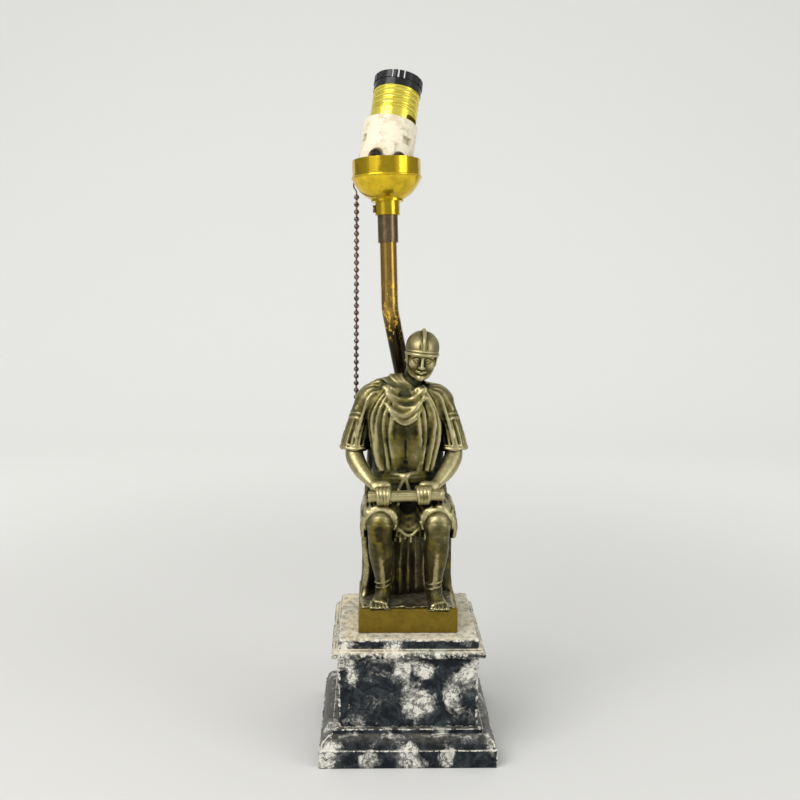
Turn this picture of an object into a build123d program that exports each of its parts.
from build123d import *
import os
from math import atan2, cos, degrees, pi, sin, sqrt

os.makedirs("parts", exist_ok=True)

# Figural table lamp: a stepped marble base carries a seated bronze figure and, behind it,
# a bent tube with a pull-chain lamp socket. The socket has lost its outer shell, so its
# insulator stands open and tilted in the brass cap.
# Frame: millimetres, +Z up, front faces -Y, origin under the middle of the base.

# ---------------------------------------------------------------- driving sizes
# Marble base
plinth_width = 101.6
plinth_block_height = 10.5
plinth_ledge = 1.1
ovolo_reach = 5.3
ovolo_height = 6.6
fillet_inset = 1.2
fillet_height = 2.65
die_width = 80.5
die_height = 41.4
die_chamfer = 1.3
cap_nose_width = 88.0
cap_nose_height = 4.6
cap_ledge_height = 0.6
cap_block_width = 80.1
cap_block_height = 5.6
cap_edge_round = 0.8

# Lamp tube and its fastening through the base
tube_diameter = 10.0
tube_wall = 1.0
tube_back = 29.0
tube_bend_rise = 131.5
tube_bend_radius = 65.0
tube_kink_rise = 183.7
tube_kink_radius = 20.0
neck_rise = 238.6
neck_x = -12.6
neck_y = 17.5
lean_left = 0.030
lean_back = 0.070
base_bore_clearance = 0.4
solder_gap = 0.05
collar_height = 4.0
tube_end_height = 2.5
tube_nut_flats = 14.3
tube_nut_height = 3.2
tube_washer_diameter = 20.0
tube_washer_thickness = 1.5
tube_recess_diameter = 26.0
tube_recess_depth = 9.0

# Tie rod that draws the figure and the marble together
rod_diameter = 4.8
rod_y = -6.0
rod_end_height = 1.8
rod_grip = 9.0
rod_nut_flats = 8.0
rod_nut_height = 3.8
rod_washer_diameter = 13.0
rod_washer_thickness = 1.2
rod_recess_diameter = 18.0
rod_recess_depth = 7.5
thread_gap = 0.06

# Cord outlet at the back of the plinth
bushing_height = 5.2
bushing_body_diameter = 7.0
bushing_flange_diameter = 9.2
bushing_flange_thickness = 1.6
bushing_bore_diameter = 5.4

# Coupling, nipple and brass socket cap
coupling_diameter = 12.0
coupling_length = 15.9
coupling_bore_gap = 0.06
nipple_diameter = 9.6
nipple_wall = 1.4
nipple_length = 16.4
nipple_gap = 0.6
neck_diameter = 14.5
neck_height = 7.9
neck_flange_diameter = 19.2
neck_flange_height = 1.4
bowl_room = 5.65
cap_wall = 0.7
band_inset = 1.4
band_bead_radius = 0.7
rim_rise = 3.15
set_screw_diameter = 2.8
set_screw_head_diameter = 4.4
set_screw_head_height = 1.3
set_screw_slot_width = 0.7
set_screw_slot_depth = 0.5
seat_gap = 0.3

# Insulator, tilted in the bowl, and what it carries
interior_slope_x = 0.143
interior_slope_y = 0.315
porcelain_shoulder = 1.95
porcelain_offset = 0.85
porcelain_chamfer = 0.6
porcelain_top = 25.6
foot_bottom = -14.5
window_width = 8.6
window_arch_top = 4.3
window_floor = 9.8
boss_diameter = 6.4
boss_bottom = -0.6
boss_top = 9.0
boss_reach = 0.7
side_recess_width = 6.0
side_recess_height = 4.6
side_recess_depth = 3.0
side_recess_middle = 12.4
side_recess_turn = 42.0
small_recess_width = 3.4
small_recess_turn = -62.0
shell_bore_radius = 13.2
shell_wall = 0.7
shell_length = 19.6
shell_plain_height = 6.2
shell_plain_wall = 0.45
shell_floor_thickness = 0.7
shell_floor_bore = 7.0
shell_slot_height = 3.6
shell_slot_width = 11.0
shell_slot_turn = 58.0
ring_band_reach = 0.2
ring_block_reach = 0.6
ring_band_height = 4.3
ring_block_height = 4.5
ring_slit_width = 0.9
ring_groups = 5
ring_slit_pitch = 14.5
ring_first_turn = -3.0
contact_strip_width = 5.0
contact_strip_thickness = 0.5
contact_rise = 4.4
contact_tip_rise = 1.2
contact_tip_gap = 0.8
contact_rivet_diameter = 4.0
contact_rivet_length = 5.0
terminal_spread = 13.7
terminal_height = 0.6
terminal_head_diameter = 6.0
terminal_head_height = 1.8
terminal_shank_diameter = 3.2
terminal_shank_length = 4.5
terminal_slot_width = 0.9
terminal_plate_width = 7.4
terminal_plate_height = 7.4
terminal_plate_thickness = 0.7
terminal_plate_top = 1.7
foot_recess_radius = 12.7
foot_recess_depth = 5.5

# Pull chain, its hook and the ratchet switch
chain_x = -31.0
chain_y = 28.0
bead_diameter = 3.2
bead_pitch = 4.3
bead_count = 30
link_diameter = 0.9
bead_sides = 10
first_bead_drop = 17.5
chain_travel = 7.0
hook_diameter = 0.9
hook_side_gap = 0.55
hook_bend_radius = 1.2
hook_tail_end = 0.8
hook_foot_rise = 1.6
hook_shoulder_rise = 4.4
notch_width = 2.6
lever_reach = 12.1
lever_pivot_reach = 4.5
lever_thickness = 1.2
lever_width = 4.4
lever_hub_diameter = 4.6
lever_hub_width = 2.3
lever_hole_length = 4.2
lever_hole_width = 1.9
lever_end = 2.0
lever_gap = 0.9
pin_diameter = 1.6
pin_length = 10.4
pin_gap = 0.06
ratchet_diameter = 7.0
ratchet_thickness = 2.0
ratchet_teeth = 4
ratchet_notch = 1.5
switch_cavity_height = 17.0

# Insulated leads from the terminals to the base
lead_diameter = 2.2
lead_spacing = 2.7
lead_bend_radius = 2.6

# Bronze figure
figure_plinth_half_width = 28.6
figure_plinth_front = -30.1
figure_plinth_back = 22.3
figure_plinth_height = 14.5
figure_plinth_chamfer = 0.6
ground_rise = 2.4
ground_inset = 2.0
seat_height = 50.0
seat_half_width = 26.6
seat_front = -3.5
seat_back = 21.0
arm_shift = -4.5
head_right = 7.5
head_forward = -2.5
head_rise = 93.5
head_bow = 14.0
head_lean = 5.0
limb_sides = 12
# Figure stations are typed in units of 1/160 of its height from the ground to the crown
figure_height = 160.0
scroll_radius = 3.4
collar_edge = 0.8
lead_mouth_rise = 1.2
lead_tail = 1.5
trunk_sides = 18

# ---------------------------------------------------------------- derived levels
plinth_height = plinth_block_height + ovolo_height + fillet_height
die_bottom = plinth_height
cap_bottom = die_bottom + die_height
base_top = cap_bottom + cap_nose_height + cap_ledge_height + cap_block_height
ground = base_top + figure_plinth_height
figure_unit = figure_height / 160
seat_level = seat_height / figure_unit
tube_radius = tube_diameter / 2
collar_radius = tube_back - figure_plinth_back - seat_gap
shell_outer_radius = shell_bore_radius + shell_wall
ring_band_radius = shell_outer_radius + ring_band_reach
ring_block_radius = shell_outer_radius + ring_block_reach
porcelain_radius = shell_outer_radius + porcelain_shoulder
porcelain_diameter = 2 * porcelain_radius
bowl_radius = porcelain_radius + bowl_room
bowl_rise = sqrt(bowl_radius**2 - (neck_flange_diameter / 2) ** 2)
bowl_centre_height = neck_height + neck_flange_height + bowl_rise
rim_height = bowl_centre_height + rim_rise
band_diameter = 2 * (bowl_radius - band_inset)

neck_origin = Vector(neck_x, neck_y, base_top + neck_rise)
neck_axis = Vector(-lean_left, lean_back, 1).normalized()
neck_frame = Plane(origin=neck_origin, x_dir=Vector(1, 0, lean_left), z_dir=neck_axis)
bowl_centre = neck_origin + neck_axis * bowl_centre_height
kink_drop = (neck_rise - tube_kink_rise) / neck_axis.Z
tube_kink = neck_origin - neck_axis * kink_drop
interior_axis = Vector(interior_slope_x, interior_slope_y, 1).normalized()
interior_frame = Plane(
    origin=bowl_centre, x_dir=Vector(1, 0, -interior_slope_x), z_dir=interior_axis
)
foot_radius = bowl_radius - cap_wall - seat_gap
shell_top = porcelain_top + shell_length
ring_top = shell_top + ring_band_height + ring_block_height


def save(shape, name):
    """Write one named sub-part."""
    shape.label = name
    export_step(shape, f"parts/{name}.step")


def cylinder_between(start, end, radius):
    """Round bar from one point to another."""
    axis = Vector(*end) - Vector(*start)
    return extrude(Plane(origin=start, z_dir=axis.normalized()) * Circle(radius), axis.length)


def ring_between(start, end, radius, bore):
    """Round sleeve from one point to another."""
    return cylinder_between(start, end, radius) - cylinder_between(start, end, bore)


def square_moulding(half_profile, reach):
    """Solid of square plan whose four sides all have the given outline."""
    outline = make_face(half_profile) + mirror(make_face(half_profile), Plane.YZ)
    front = extrude(Plane.XZ * outline, reach, both=True)
    side = extrude(Plane.YZ * outline, reach, both=True)
    return front & side


# ---------------------------------------------------------------- marble base
def tube_bore(bottom, top):
    start = (0, tube_back, bottom)
    return cylinder_between(start, (0, tube_back, top), tube_radius + base_bore_clearance)


def rod_bore(bottom, top):
    return cylinder_between((0, rod_y, bottom), (0, rod_y, top), rod_diameter / 2 + base_bore_clearance)


def base_plinth():
    half = plinth_width / 2
    ovolo_foot = half - plinth_ledge
    ovolo_top = ovolo_foot - ovolo_reach
    fillet = ovolo_top - fillet_inset
    ovolo_end = plinth_block_height + ovolo_height
    middle = (
        ovolo_top + ovolo_reach * cos(pi / 4),
        plinth_block_height + ovolo_height * sin(pi / 4),
    )
    outline = Polyline(
        (0, 0), (half, 0), (half, plinth_block_height), (ovolo_foot, plinth_block_height)
    )
    outline += ThreePointArc((ovolo_foot, plinth_block_height), middle, (ovolo_top, ovolo_end))
    outline += Polyline(
        (ovolo_top, ovolo_end), (fillet, ovolo_end), (fillet, plinth_height), (0, plinth_height), (0, 0)
    )
    solid = square_moulding(outline, half)
    tube_recess = Pos(0, tube_back, 0) * Cylinder(
        tube_recess_diameter / 2, tube_recess_depth, align=(Align.CENTER, Align.CENTER, Align.MIN)
    )
    rod_recess = Pos(0, rod_y, 0) * Cylinder(
        rod_recess_diameter / 2, rod_recess_depth, align=(Align.CENTER, Align.CENTER, Align.MIN)
    )
    outlet = cylinder_between(
        (0, tube_back, bushing_height), (0, half, bushing_height), bushing_body_diameter / 2 + solder_gap
    )
    outlet += cylinder_between(
        (0, half - bushing_flange_thickness, bushing_height),
        (0, half, bushing_height),
        bushing_flange_diameter / 2 + solder_gap,
    )
    return solid - tube_recess - rod_recess - outlet - tube_bore(0, plinth_height) - rod_bore(0, plinth_height)


def base_die():
    block = Pos(0, 0, die_bottom) * Box(
        die_width, die_width, die_height, align=(Align.CENTER, Align.CENTER, Align.MIN)
    )
    block = chamfer(block.edges().filter_by(Axis.Z), die_chamfer)
    return block - tube_bore(die_bottom, cap_bottom) - rod_bore(die_bottom, cap_bottom)


def base_cap():
    nose = cap_nose_height / 2
    flat = cap_nose_width / 2 - nose
    block = cap_block_width / 2
    nose_top = cap_bottom + cap_nose_height
    outline = Polyline((0, cap_bottom), (flat, cap_bottom))
    outline += ThreePointArc((flat, cap_bottom), (flat + nose, cap_bottom + nose), (flat, nose_top))
    outline += Polyline(
        (flat, nose_top),
        (flat, nose_top + cap_ledge_height),
        (block, nose_top + cap_ledge_height),
        (block, base_top - cap_edge_round),
    )
    outline += ThreePointArc(
        (block, base_top - cap_edge_round),
        (block - cap_edge_round * (1 - cos(pi / 4)), base_top - cap_edge_round * (1 - sin(pi / 4))),
        (block - cap_edge_round, base_top),
    )
    outline += Polyline((block - cap_edge_round, base_top), (0, base_top), (0, cap_bottom))
    solid = square_moulding(outline, cap_nose_width / 2)
    return solid - tube_bore(cap_bottom, base_top) - rod_bore(cap_bottom, base_top)


# ---------------------------------------------------------------- tube and fasteners
def tube_route():
    """Centre line of the lamp tube, from under the base to its end in the coupling."""
    bend = (0, tube_back, base_top + tube_bend_rise)
    end = neck_origin - neck_axis * (coupling_length / 2)
    return [(0, tube_back, tube_end_height), bend, tuple(tube_kink), tuple(end)]


def bent_bar(points, radii, radius):
    """Round bar along straight runs that are joined by arcs."""
    path = FilletPolyline(*points, radius=radii)
    start = Plane(origin=path @ 0, z_dir=path % 0)
    return sweep(start * Circle(radius), path=path)


def lamp_tube():
    points = tube_route()
    radii = [tube_bend_radius, tube_kink_radius]
    return bent_bar(points, radii, tube_radius) - bent_bar(points, radii, tube_radius - tube_wall)


def tube_collar():
    start = (0, tube_back, base_top)
    end = (0, tube_back, base_top + collar_height)
    sleeve = ring_between(start, end, collar_radius, tube_radius + solder_gap)
    return chamfer(sleeve.edges().group_by(Axis.Z)[-1].sort_by(SortBy.RADIUS)[-1], collar_edge)


def hex_nut(centre, flats, height, bore):
    nut = extrude(Pos(*centre) * RegularPolygon(flats / 2, 6, major_radius=False), height)
    return nut - extrude(Pos(*centre) * Circle(bore), height)


def tube_nut():
    bottom = tube_recess_depth - tube_washer_thickness - tube_nut_height
    return hex_nut((0, tube_back, bottom), tube_nut_flats, tube_nut_height, tube_radius + thread_gap)


def tube_washer():
    bottom = tube_recess_depth - tube_washer_thickness
    return ring_between(
        (0, tube_back, bottom),
        (0, tube_back, tube_recess_depth),
        tube_washer_diameter / 2,
        tube_radius + base_bore_clearance,
    )


def tie_rod():
    top = base_top + rod_grip
    return cylinder_between((0, rod_y, rod_end_height), (0, rod_y, top), rod_diameter / 2)


def tie_nut():
    bottom = rod_recess_depth - rod_washer_thickness - rod_nut_height
    return hex_nut((0, rod_y, bottom), rod_nut_flats, rod_nut_height, rod_diameter / 2 + thread_gap)


def tie_washer():
    bottom = rod_recess_depth - rod_washer_thickness
    return ring_between(
        (0, rod_y, bottom),
        (0, rod_y, rod_recess_depth),
        rod_washer_diameter / 2,
        rod_diameter / 2 + base_bore_clearance,
    )


def cord_bushing():
    face = plinth_width / 2 - bushing_flange_thickness
    inner = tube_back + sqrt((tube_recess_diameter / 2) ** 2 - (bushing_body_diameter / 2) ** 2)
    body = cylinder_between((0, inner, bushing_height), (0, face, bushing_height), bushing_body_diameter / 2)
    flange = cylinder_between(
        (0, face, bushing_height),
        (0, face + bushing_flange_thickness, bushing_height),
        bushing_flange_diameter / 2,
    )
    flange = fillet(flange.edges().group_by(Axis.Y)[-1], bushing_flange_thickness / 2)
    bore = cylinder_between(
        (0, inner, bushing_height),
        (0, face + bushing_flange_thickness, bushing_height),
        bushing_bore_diameter / 2,
    )
    return body + flange - bore


# ---------------------------------------------------------------- coupling and socket cap
def on_neck(solid):
    """Place a solid drawn upright about the neck's own axis."""
    return neck_frame.location * solid


def upright(radius, bottom, top, bore=0):
    """Cylinder or sleeve about the local axis."""
    base = Circle(radius) - Circle(bore) if bore else Circle(radius)
    return extrude(Pos(0, 0, bottom) * base, top - bottom)


def tube_coupling():
    bore = tube_radius + coupling_bore_gap
    return on_neck(upright(coupling_diameter / 2, -coupling_length, 0, bore))


def tube_nipple():
    bottom = nipple_gap - coupling_length / 2
    radius = nipple_diameter / 2
    return on_neck(upright(radius, bottom, bottom + nipple_length, radius - nipple_wall))


def socket_cap():
    bore = nipple_diameter / 2 + thread_gap
    flange_top = neck_height + neck_flange_height
    flange = neck_flange_diameter / 2
    floor = flange_top + cap_wall
    band = band_diameter / 2
    band_foot = bowl_centre_height - sqrt(bowl_radius**2 - band**2)
    inner_radius = bowl_radius - cap_wall
    inner_band = band - cap_wall
    inner_foot = bowl_centre_height - sqrt(inner_radius**2 - inner_band**2)
    floor_reach = sqrt(inner_radius**2 - (bowl_centre_height - floor) ** 2)
    bowl_foot = sqrt(bowl_radius**2 - (bowl_centre_height - flange_top) ** 2)
    bowl_turn = atan2(bowl_foot, bowl_centre_height - flange_top) / 2
    bowl_turn += atan2(band, bowl_centre_height - band_foot) / 2
    inner_turn = atan2(floor_reach, bowl_centre_height - floor) / 2
    inner_turn += atan2(inner_band, bowl_centre_height - inner_foot) / 2
    bowl_middle = (bowl_radius * sin(bowl_turn), bowl_centre_height - bowl_radius * cos(bowl_turn))
    inner_middle = (inner_radius * sin(inner_turn), bowl_centre_height - inner_radius * cos(inner_turn))
    bead_foot = band_foot + 2 * band_bead_radius
    outline = Polyline(
        (bore, 0),
        (neck_diameter / 2, 0),
        (neck_diameter / 2, neck_height),
        (flange, neck_height),
        (flange, flange_top),
        (bowl_foot, flange_top),
    )
    outline += ThreePointArc((bowl_foot, flange_top), bowl_middle, (band, band_foot))
    outline += ThreePointArc(
        (band, band_foot), (band + band_bead_radius, band_foot + band_bead_radius), (band, bead_foot)
    )
    outline += Polyline((band, bead_foot), (band, rim_height), (inner_band, rim_height), (inner_band, inner_foot))
    outline += ThreePointArc((inner_band, inner_foot), inner_middle, (floor_reach, floor))
    outline += Polyline((floor_reach, floor), (bore, floor), (bore, 0))
    cap = on_neck(revolve(Plane.XZ * make_face(outline), Axis.Z))
    screw_hole = cylinder_between(
        (-neck_diameter / 2, 0, neck_height / 2), (0, 0, neck_height / 2), set_screw_diameter / 2 + thread_gap
    )
    return cap - on_neck(screw_hole) - notch_cut()


def cap_set_screw():
    tip = -(nipple_diameter / 2 + solder_gap)
    face = -neck_diameter / 2
    height = neck_height / 2
    shank = cylinder_between((tip, 0, height), (face, 0, height), set_screw_diameter / 2)
    head = cylinder_between(
        (face, 0, height), (face - set_screw_head_height, 0, height), set_screw_head_diameter / 2
    )
    slot = Pos(face - set_screw_head_height, 0, height) * Box(
        2 * set_screw_slot_depth, set_screw_head_diameter, set_screw_slot_width
    )
    return on_neck(shank + head - slot)


# ---------------------------------------------------------------- pull switch geometry
chain_top_z = bowl_centre.Z - first_bead_drop
chain_side = Vector(chain_x - bowl_centre.X, chain_y - bowl_centre.Y, 0).normalized()
side_frame = Plane(
    origin=(bowl_centre.X, bowl_centre.Y, bowl_centre.Z), x_dir=chain_side, z_dir=(0, 0, 1)
)
hook_radius = hook_diameter / 2
bead_reach = band_diameter / 2 + band_bead_radius
bead_height = bowl_centre_height - sqrt(bowl_radius**2 - (band_diameter / 2) ** 2) + band_bead_radius
bead_shift = (neck_axis * (bead_height - bowl_centre_height)).dot(chain_side)
hook_outer = bead_reach + bead_shift + hook_radius + hook_side_gap
pivot_height = -1.6
hole_reach = lever_pivot_reach + lever_reach
hook_top = pivot_height + chain_travel / 2 + lever_thickness / 2 + lever_gap + hook_radius


def notch_cut():
    """Slot in the cap's band that the hook runs down in."""
    bottom = hook_top - chain_travel - hook_diameter
    reach = band_diameter
    box = Pos(reach / 2 + hole_reach / 2, 0, bottom) * Box(
        reach, notch_width, reach, align=(Align.CENTER, Align.CENTER, Align.MIN)
    )
    return side_frame.location * box


def chain_hook():
    """Bent wire from the first bead, up past the bowl and over into the lever's hole."""
    to_chain = Vector(chain_x, chain_y, 0) - Vector(bowl_centre.X, bowl_centre.Y, 0)
    chain_reach = to_chain.length
    bead_top = -first_bead_drop + bead_diameter / 2
    points = [
        (chain_reach, 0, bead_top),
        (chain_reach, 0, bead_top + hook_foot_rise),
        (hook_outer, 0, bead_top + hook_shoulder_rise),
        (hook_outer, 0, hook_top),
        (hole_reach, 0, hook_top),
        (hole_reach, 0, hook_top - hook_radius - lever_gap - lever_thickness - hook_tail_end),
    ]
    radii = [hook_bend_radius] * 4
    return side_frame.location * bent_bar(points, radii, hook_radius)


def pull_chain():
    """Hollow beads on short rods, drawn as one faceted body."""
    radius = bead_diameter / 2
    end_radius = link_diameter / 2
    neck = sqrt(radius**2 - end_radius**2)
    rings = [(neck, end_radius), (radius * 0.72, radius * 0.70), (radius * 0.26, radius * 0.97)]
    rings += [(-height, reach) for height, reach in reversed(rings)]
    top = chain_top_z
    sections = []
    for index in range(bead_count):
        centre = top - index * bead_pitch
        for height, reach in rings:
            polygon = RegularPolygon(reach, bead_sides)
            sections.append(Pos(chain_x, chain_y, centre + height) * polygon)
    return loft(sections, ruled=True)


def lever_plate():
    """Lever drawn level in the plane of its swing, pivot at the local origin."""
    arm = Pos(lever_reach / 2 + lever_end / 2, 0, 0) * Box(
        lever_reach + lever_end, lever_hub_width, lever_thickness
    )
    tip_length = lever_hole_length + 2 * lever_end
    tip = Pos(lever_reach + lever_end - tip_length / 2, 0, 0) * Box(tip_length, lever_width, lever_thickness)
    hub = cylinder_between(
        (0, -lever_hub_width / 2, 0), (0, lever_hub_width / 2, 0), lever_hub_diameter / 2
    )
    bore = cylinder_between(
        (0, -lever_hub_width / 2, 0), (0, lever_hub_width / 2, 0), pin_diameter / 2 + pin_gap
    )
    hole = Pos(lever_reach, 0, 0) * Box(lever_hole_length, lever_hole_width, lever_thickness)
    return arm + tip + hub - bore - hole


lever_swing = degrees(atan2(chain_travel / 2, lever_reach))
pivot_location = side_frame.location * Pos(lever_pivot_reach, 0, pivot_height)


def pull_lever():
    lever = Rot(0, -lever_swing, 0) * lever_plate()
    return pivot_location * lever


def ratchet_wheel():
    """Toothed wheel beside the lever, on the same pin."""
    near = lever_hub_width / 2 + seat_gap
    wheel = cylinder_between((0, near, 0), (0, near + ratchet_thickness, 0), ratchet_diameter / 2)
    wheel -= cylinder_between((0, near, 0), (0, near + ratchet_thickness, 0), pin_diameter / 2 + pin_gap)
    for tooth in range(ratchet_teeth):
        notch = Pos(ratchet_diameter / 2, near + ratchet_thickness / 2, 0) * Box(
            ratchet_notch, ratchet_thickness, ratchet_notch
        )
        wheel -= Rot(0, tooth * 360 / ratchet_teeth, 0) * notch
    return pivot_location * wheel


def switch_pin():
    half = pin_length / 2
    middle = (seat_gap + ratchet_thickness) / 2
    pin = cylinder_between((0, middle - half, 0), (0, middle + half, 0), pin_diameter / 2)
    return pivot_location * pin


def switch_cavity():
    """Room in the insulator for the lever's swing and the ratchet wheel."""
    near = -lever_width / 2 - seat_gap
    far = lever_hub_width / 2 + ratchet_thickness + 2 * seat_gap
    inner = lever_pivot_reach - ratchet_diameter / 2 - seat_gap
    reach = porcelain_diameter
    box = Pos(inner + reach / 2, (near + far) / 2, pivot_height) * Box(reach, far - near, switch_cavity_height)
    return side_frame.location * box


def pin_holes():
    half = pin_length / 2 + pin_gap
    middle = (seat_gap + ratchet_thickness) / 2
    hole = cylinder_between((0, middle - half, 0), (0, middle + half, 0), pin_diameter / 2 + pin_gap)
    return pivot_location * hole


# ---------------------------------------------------------------- socket interior
def on_interior(solid):
    """Place a solid drawn upright about the tilted insulator's own axis."""
    return interior_frame.location * solid


def window_cut(side):
    """Arched opening in front of one terminal, open at the foot for its lead."""
    arch = window_width / 2
    outline = Pos(0, window_arch_top - arch) * Circle(arch)
    outline += Pos(0, (foot_bottom + window_arch_top - arch) / 2) * Rectangle(
        window_width, window_arch_top - arch - foot_bottom
    )
    cut = extrude(Plane.XZ * outline, porcelain_diameter)
    return Pos(side * terminal_spread / 2, -window_floor, 0) * cut


def wall_recess(turn, width, depth):
    """Square-cornered recess in the insulator's side, turned from the front."""
    box = Box(width, 2 * depth, side_recess_height)
    return Pos(-porcelain_offset, 0, side_recess_middle) * (
        Rot(0, 0, turn) * (Pos(0, -porcelain_radius, 0) * box)
    )


def insulator_body():
    middle = Pos(-porcelain_offset, 0, 0)
    drum = middle * upright(porcelain_radius, foot_bottom, porcelain_top)
    drum = chamfer(drum.edges().group_by(Axis.Z)[-1], porcelain_chamfer)
    ball = Sphere(foot_radius)
    upper = upright(bowl_radius, 0, porcelain_top + 1)
    foot = drum & (ball + upper)
    boss = Plane.XZ * (
        Pos(0, boss_bottom + boss_diameter / 2) * Circle(boss_diameter / 2)
        + Pos(0, (boss_bottom + boss_diameter / 2 + boss_top) / 2)
        * Rectangle(boss_diameter, boss_top - boss_bottom - boss_diameter / 2)
    )
    boss_solid = extrude(boss, porcelain_radius + boss_reach - window_floor)
    boss_solid = Pos(0, -window_floor, 0) * boss_solid
    for side in (-1, 1):
        foot -= window_cut(side)
    foot += boss_solid
    foot -= wall_recess(side_recess_turn, side_recess_width, side_recess_depth)
    foot -= wall_recess(small_recess_turn, small_recess_width, side_recess_depth / 2)
    well_bottom = porcelain_top - contact_rivet_length
    contact_well = upright(contact_rivet_diameter / 2 + thread_gap, well_bottom, porcelain_top)
    foot_recess = upright(foot_recess_radius, foot_bottom, foot_bottom + foot_recess_depth)
    body = on_interior(foot - contact_well - foot_recess - terminal_holes())
    return body - switch_cavity() - pin_holes()


def terminal_holes():
    cuts = Part()
    for side in (-1, 1):
        x = side * terminal_spread / 2
        cuts += cylinder_between(
            (x, -window_floor, terminal_height),
            (x, -window_floor + terminal_shank_length, terminal_height),
            terminal_shank_diameter / 2 + thread_gap,
        )
    return cuts


def terminal_plates():
    plates = []
    for side in (-1, 1):
        x = side * terminal_spread / 2
        plate_middle = terminal_plate_top - terminal_plate_height / 2
        plate = Pos(x, -window_floor - terminal_plate_thickness / 2, plate_middle) * Box(
            terminal_plate_width, terminal_plate_thickness, terminal_plate_height
        )
        plate -= cylinder_between(
            (x, -window_floor, terminal_height),
            (x, -window_floor - terminal_plate_thickness, terminal_height),
            terminal_shank_diameter / 2 + thread_gap,
        )
        plates.append(on_interior(plate))
    return Compound(plates)


def terminal_screws():
    screws = []
    face = -window_floor - terminal_plate_thickness
    for side in (-1, 1):
        x = side * terminal_spread / 2
        shank = cylinder_between(
            (x, face, terminal_height),
            (x, face + terminal_shank_length, terminal_height),
            terminal_shank_diameter / 2,
        )
        head = cylinder_between(
            (x, face, terminal_height),
            (x, face - terminal_head_height, terminal_height),
            terminal_head_diameter / 2,
        )
        slot = Pos(x, face - terminal_head_height, terminal_height) * Box(
            terminal_head_diameter, terminal_slot_width, terminal_slot_width
        )
        screws.append(on_interior(shank + head - slot))
    return Compound(screws)


def screw_shell():
    wall = upright(shell_outer_radius, porcelain_top, shell_top, shell_bore_radius)
    plain_bore = shell_outer_radius - shell_plain_wall
    floor_top = porcelain_top + shell_floor_thickness
    wall -= upright(plain_bore, floor_top, porcelain_top + shell_plain_height)
    floor = upright(shell_bore_radius, porcelain_top, floor_top, shell_floor_bore)
    slot = Rot(0, 0, shell_slot_turn) * (
        Pos(0, -shell_outer_radius, porcelain_top + shell_slot_height / 2)
        * Box(shell_slot_width, shell_outer_radius, shell_slot_height)
    )
    return on_interior(wall + floor - slot)


def shell_ring():
    band = upright(ring_band_radius, shell_top, shell_top + ring_band_height, shell_bore_radius)
    blocks = upright(ring_block_radius, shell_top + ring_band_height, ring_top, shell_bore_radius)
    ring = band + blocks
    height = ring_block_height
    for group in range(ring_groups):
        for slit in (-1, 0, 1):
            turn = ring_first_turn + group * 360 / ring_groups + slit * ring_slit_pitch
            cut = Pos(0, -ring_block_radius, ring_top - height / 2) * Box(
                ring_slit_width, ring_block_radius, height
            )
            ring -= Rot(0, 0, turn) * cut
    return on_interior(ring)


def centre_contact():
    """Rivet and springy strip that meets the bulb's foot."""
    rivet = upright(contact_rivet_diameter / 2, porcelain_top - contact_rivet_length, porcelain_top)
    reach = shell_floor_bore - contact_tip_gap
    tip = porcelain_top + contact_rise + contact_tip_rise
    half = contact_strip_width / 2
    strip = Pos(0, 0, porcelain_top + contact_strip_thickness / 2) * Box(
        2 * contact_rivet_diameter, contact_strip_width, contact_strip_thickness
    )
    start = -contact_rivet_diameter
    outline = Polyline(
        (start, porcelain_top),
        (start, porcelain_top + contact_rise),
        (start + reach, tip),
        (start + reach, tip - contact_strip_thickness),
        (start + contact_strip_thickness, porcelain_top + contact_rise - contact_strip_thickness),
        (start + contact_strip_thickness, porcelain_top),
        close=True,
    )
    tongue = extrude(Plane.XZ * make_face(outline), half, both=True)
    return on_interior(rivet + strip + tongue)


# ---------------------------------------------------------------- leads
def lead_wires():
    """Two insulated leads, side by side in the tube, parting to the terminals."""
    leads = []
    lead_end = terminal_plate_top - terminal_plate_height - seat_gap
    lead_y = -window_floor - lead_diameter / 2 - seat_gap
    lead_turn = foot_bottom + lead_diameter + 2 * seat_gap
    for side in (-1, 1):
        shift = side * lead_spacing / 2
        low = [(shift, tube_back, tube_end_height + lead_tail)]
        low += [(x + shift, y, z) for x, y, z in tube_route()[1:3]]
        inside = [
            (side * terminal_spread / 2, lead_y - seat_gap, lead_turn),
            (side * terminal_spread / 2, lead_y, lead_end),
        ]
        mouth = neck_origin + neck_axis * (bowl_centre_height - foot_radius + lead_mouth_rise)
        high = [(mouth.X + shift, mouth.Y, mouth.Z)]
        high += [tuple(interior_frame.from_local_coords(Vector(*point))) for point in inside]
        points = low + high
        radii = [tube_bend_radius, tube_kink_radius, lead_bend_radius, lead_bend_radius]
        leads.append(bent_bar(points, radii, lead_diameter / 2))
    return Compound(leads)


# ---------------------------------------------------------------- bronze figure
def oval(sides, half_width, half_depth):
    """Many-sided oval in the local plane."""
    step = 2 * pi / sides
    return Polygon(
        *[(half_width * cos((i + 0.5) * step), half_depth * sin((i + 0.5) * step)) for i in range(sides)],
        align=None,
    )


def over_ground(x, y, height):
    """Point of the figure, from its own units."""
    return Vector(x * figure_unit, y * figure_unit, ground + height * figure_unit)


def form(stations, sides, across=(1, 0, 0)):
    """Tapering form through oval stations: x, y, height over the ground, half width, half depth."""
    points = [over_ground(x, y, h) for x, y, h, _, _ in stations]
    sections = []
    last = len(points) - 1
    for index, (_, _, _, half_width, half_depth) in enumerate(stations):
        run = (points[min(index + 1, last)] - points[max(index - 1, 0)]).normalized()
        side = Vector(*across)
        side = (side - run * side.dot(run)).normalized()
        plane = Plane(origin=points[index], x_dir=side, z_dir=run)
        sections.append(plane * oval(sides, half_width * figure_unit, half_depth * figure_unit))
    return loft(sections, ruled=True)


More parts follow.
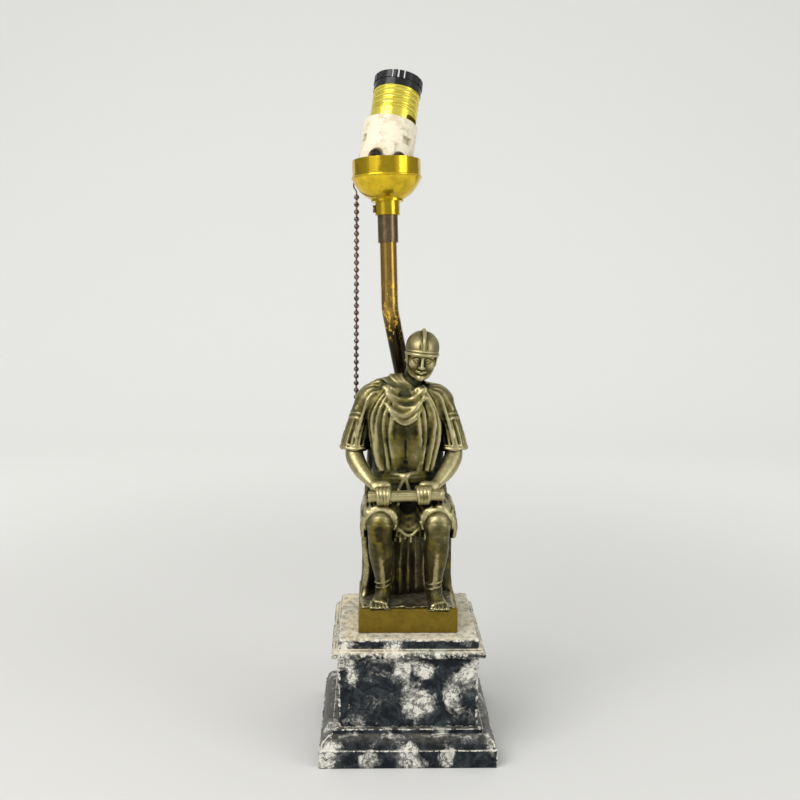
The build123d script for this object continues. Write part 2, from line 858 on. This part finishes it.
def figure_plinth():
    width = 2 * figure_plinth_half_width
    depth = figure_plinth_back - figure_plinth_front
    middle = (figure_plinth_back + figure_plinth_front) / 2
    block = Pos(0, middle, base_top) * Box(
        width, depth, figure_plinth_height, align=(Align.CENTER, Align.CENTER, Align.MIN)
    )
    block = chamfer(block.edges().filter_by(Axis.Z), figure_plinth_chamfer)
    low = Pos(0, middle, ground) * Rectangle(width - 2 * ground_inset, depth - 2 * ground_inset)
    high_depth = figure_plinth_back - seat_front
    high = Pos(0, figure_plinth_back - high_depth / 2 - ground_inset, ground + ground_rise) * Rectangle(
        width - 4 * ground_inset, high_depth - ground_inset
    )
    mound = loft([low, high], ruled=True)
    rod_hole = cylinder_between(
        (0, rod_y, base_top), (0, rod_y, base_top + rod_grip + seat_gap), rod_diameter / 2 + thread_gap
    )
    return block + mound - rod_hole


def figure_seat():
    middle = (seat_front + seat_back) / 2
    half_depth = (seat_back - seat_front) / 2
    levels = [
        (0, 1.0, 1.0),
        (seat_height * 0.45, 0.97, 0.97),
        (seat_height * 0.85, 1.0, 1.0),
        (seat_height, 0.94, 0.96),
    ]
    sections = []
    for height, wide, deep in levels:
        outline = RectangleRounded(
            2 * seat_half_width * wide, 2 * half_depth * deep, half_depth * 0.35
        )
        sections.append(Pos(0, middle, ground + height) * outline)
    return loft(sections, ruled=True) - figure_plinth()


def mirrored(stations, shift=0):
    return [(-x + shift, y, h, w, d) for x, y, h, w, d in stations]


def figure_body():
    trunk = form(
        [
            (0, 3, seat_level - 4, 24, 14),
            (0, 3, seat_level + 5, 25, 16.5),
            (-0.5, 3, seat_level + 15, 22.5, 15.5),
            (-1.5, 3.5, seat_level + 28, 18.5, 12.5),
            (-2, 3, seat_level + 42, 20.5, 13.5),
            (-2.5, 3, seat_level + 56, 23, 13.5),
            (-3, 3.5, seat_level + 67, 23.0, 11.5),
            (-2, 4, seat_level + 73.5, 17, 9.5),
            (1.5, 3.5, seat_level + 79.0, 8.5, 7.5),
        ],
        trunk_sides,
    )
    cloak = form(
        [
            (0, 9.0, seat_level - 6, 26.5, 11.0),
            (-0.5, 9.0, seat_level + 14, 26.0, 11.5),
            (-1.5, 8.5, seat_level + 40, 25.0, 10.5),
            (-2.5, 8.0, seat_level + 62, 25.5, 9.5),
            (-2.5, 7.0, seat_level + 72, 21.0, 8.0),
            (-1, 6.5, seat_level + 76, 12.0, 6.0),
        ],
        trunk_sides,
    )
    left_thigh = [
        (-10.5, 6, seat_level + 4.5, 12.5, 11.0),
        (-12.5, -6, seat_level + 3.8, 12.0, 10.5),
        (-15.0, -15, seat_level + 2.6, 11.4, 10.2),
        (-16.3, -20, seat_level + 1.6, 11.2, 10.4),
    ]
    lap = form(
        [
            (0, 4, seat_level + 3, 9, 8),
            (0, -9, seat_level + 2, 9, 6.5),
            (0, -17, seat_level - 2, 8.5, 4.5),
            (0, -19.5, seat_level - 13, 7.0, 3.5),
        ],
        limb_sides,
    )
    yoke = form(
        [
            (-27.5, 4, seat_level + 65.0, 4.5, 5.0),
            (-22.5, 4, seat_level + 68.5, 7.6, 8.6),
            (-12.0, 4, seat_level + 72.0, 7.2, 8.4),
            (-1.5, 4, seat_level + 73.5, 7.6, 8.4),
            (9.0, 4, seat_level + 72.0, 7.2, 8.4),
            (19.0, 4, seat_level + 68.0, 7.6, 8.6),
            (24.0, 4, seat_level + 64.5, 4.5, 5.0),
        ],
        limb_sides,
        across=(0, 0, 1),
    )
    left_sleeve = [
        (-20.5, 4, seat_level + 70.5, 5.5, 6.5),
        (-23.5, 4, seat_level + 66.5, 7.6, 8.8),
        (-27.5, 3.6, seat_level + 56, 7.9, 8.8),
        (-30.2, 3.2, seat_level + 46, 8.4, 9.0),
        (-31.6, 2.8, seat_level + 38.0, 8.2, 8.6),
        (-32.0, 2.4, seat_level + 34.0, 6.0, 6.2),
    ]
    body = trunk + cloak + lap + yoke
    body += form(left_thigh, limb_sides)
    body += form(mirrored(left_thigh), limb_sides)
    body += form(left_sleeve, limb_sides)
    body += form(mirrored(left_sleeve, arm_shift), limb_sides)
    return body - figure_seat()


def figure_leg(side, forward, inward):
    """Knee, shin and foot; side is -1 at the viewer's left."""
    knee_x = side * 16.5
    ankle_x = side * (16.5 - inward)
    stations = [
        (knee_x - side * 0.8, -13.5, seat_level + 2.0, 8.0, 8.0),
        (knee_x, -20.5, seat_level + 1.4, 8.3, 8.3),
        (knee_x, -25.8, seat_level - 2.2, 7.9, 7.6),
        (knee_x, -26.2 - forward * 0.2, seat_level - 9, 7.0, 6.6),
        ((knee_x * 2 + ankle_x) / 3, -23.0 - forward * 0.4, seat_level - 19, 7.2, 7.2),
        ((knee_x + ankle_x * 2) / 3, -20.0 - forward * 0.8, seat_level - 33, 5.2, 5.4),
        (ankle_x, -18.5 - forward, 8.0, 4.0, 4.6),
        (ankle_x, -18.0 - forward, 3.0, 3.9, 4.8),
    ]
    toe_out = side * 0.9
    foot = [
        (ankle_x, -12.8 - forward, 3.0, 2.4, 2.4),
        (ankle_x, -14.5 - forward, 3.3, 3.8, 3.9),
        (ankle_x + toe_out, -20.5 - forward, 3.6, 4.4, 4.4),
        (ankle_x + toe_out * 2, -26.5 - forward, 2.2, 5.4, 2.9),
        (ankle_x + toe_out * 3, -31.0 - forward, 1.5, 5.3, 2.2),
        (ankle_x + toe_out * 3, -33.0 - forward, 1.0, 3.6, 1.3),
    ]
    leg = form(stations, limb_sides) + form(foot, limb_sides)
    return leg


def figure_head():
    """Head with a cap of hair on a short neck, bowed a little."""
    rings = [
        (-13.4, -6.4, 3.2, 3.4),
        (-11.4, -4.4, 5.8, 6.4),
        (-7.5, -1.6, 7.7, 9.6),
        (-2.5, 0.0, 8.8, 11.2),
        (3.0, 0.6, 9.9, 12.4),
        (8.0, 1.0, 9.5, 11.8),
        (11.8, 1.4, 6.8, 8.4),
        (13.6, 1.6, 3.0, 3.8),
    ]
    sections = [
        Pos(0, middle * figure_unit, height * figure_unit)
        * oval(trunk_sides, wide * figure_unit, deep * figure_unit)
        for height, middle, wide, deep in rings
    ]
    centre = over_ground(head_right, head_forward, seat_level + head_rise)
    skull = Pos(*centre) * (Rot(head_bow, head_lean, 0) * loft(sections, ruled=True))
    neck = form(
        [
            (0.5, 3.5, seat_level + 74, 7.5, 7.0),
            (3.0, 2.5, seat_level + 81, 6.0, 6.2),
            (6.0, 1.0, seat_level + 90, 6.0, 6.6),
        ],
        limb_sides,
    )
    return skull + neck


def forearm(side, shift):
    """Bare forearm and closed hand, from under the sleeve to the scroll."""
    arm = form(
        [
            (side * 31.8 + shift, 1.0, seat_level + 36.5, 4.6, 5.0),
            (side * 31.2 + shift, -2.5, seat_level + 33.5, 5.3, 5.3),
            (side * 27.0 + shift, -9.5, seat_level + 27.0, 4.9, 4.9),
            (side * 20.5 + shift, -17.5, seat_level + 20.0, 3.4, 3.7),
            (side * 16.5 + shift, -20.5, seat_level + 17.5, 4.6, 4.4),
            (side * 10.5 + shift, -22.5, seat_level + 16.0, 4.4, 5.0),
            (side * 7.5 + shift, -22.5, seat_level + 15.4, 3.0, 3.8),
        ],
        limb_sides,
        across=(0, 0, 1),
    )
    return arm


def figure_scroll():
    left = over_ground(-23.0, -23.0, seat_level + 14.0)
    right = over_ground(20.0, -24.0, seat_level + 15.6)
    return cylinder_between(left, right, scroll_radius * figure_unit)


def write_figure():
    """The figure's castings, each cut to the one it joins."""
    plinth = figure_plinth()
    seat = figure_seat()
    body = figure_body()
    left_leg = figure_leg(-1, -1.0, 2.5) - plinth - seat - body
    right_leg = figure_leg(1, 1.5, 1.5) - plinth - seat - body
    scroll = figure_scroll() - body
    left_arm = forearm(-1, 0.0) - body - scroll
    right_arm = forearm(1, arm_shift) - body - scroll
    head = figure_head() - body
    save(plinth, "figure_plinth")
    save(seat, "figure_seat")
    save(body, "figure_body")
    save(left_leg, "figure_left_leg")
    save(right_leg, "figure_right_leg")
    save(scroll, "figure_scroll")
    save(left_arm, "figure_left_forearm")
    save(right_arm, "figure_right_forearm")
    save(head, "figure_head")


# ---------------------------------------------------------------- write every part
save(base_plinth(), "base_plinth")
save(base_die(), "base_die")
save(base_cap(), "base_cap")
save(lamp_tube(), "lamp_tube")
save(tube_collar(), "tube_collar")
save(tube_nut(), "tube_nut")
save(tube_washer(), "tube_washer")
save(tie_rod(), "tie_rod")
save(tie_nut(), "tie_nut")
save(tie_washer(), "tie_washer")
save(cord_bushing(), "cord_bushing")
save(tube_coupling(), "tube_coupling")
save(tube_nipple(), "tube_nipple")
save(socket_cap(), "socket_cap")
save(cap_set_screw(), "cap_set_screw")
save(insulator_body(), "insulator_body")
save(terminal_plates(), "terminal_plates")
save(terminal_screws(), "terminal_screws")
save(screw_shell(), "screw_shell")
save(shell_ring(), "shell_ring")
save(centre_contact(), "centre_contact")
save(switch_pin(), "switch_pin")
save(pull_lever(), "pull_lever")
save(ratchet_wheel(), "ratchet_wheel")
save(chain_hook(), "chain_hook")
save(pull_chain(), "pull_chain")
save(lead_wires(), "lead_wires")
write_figure()
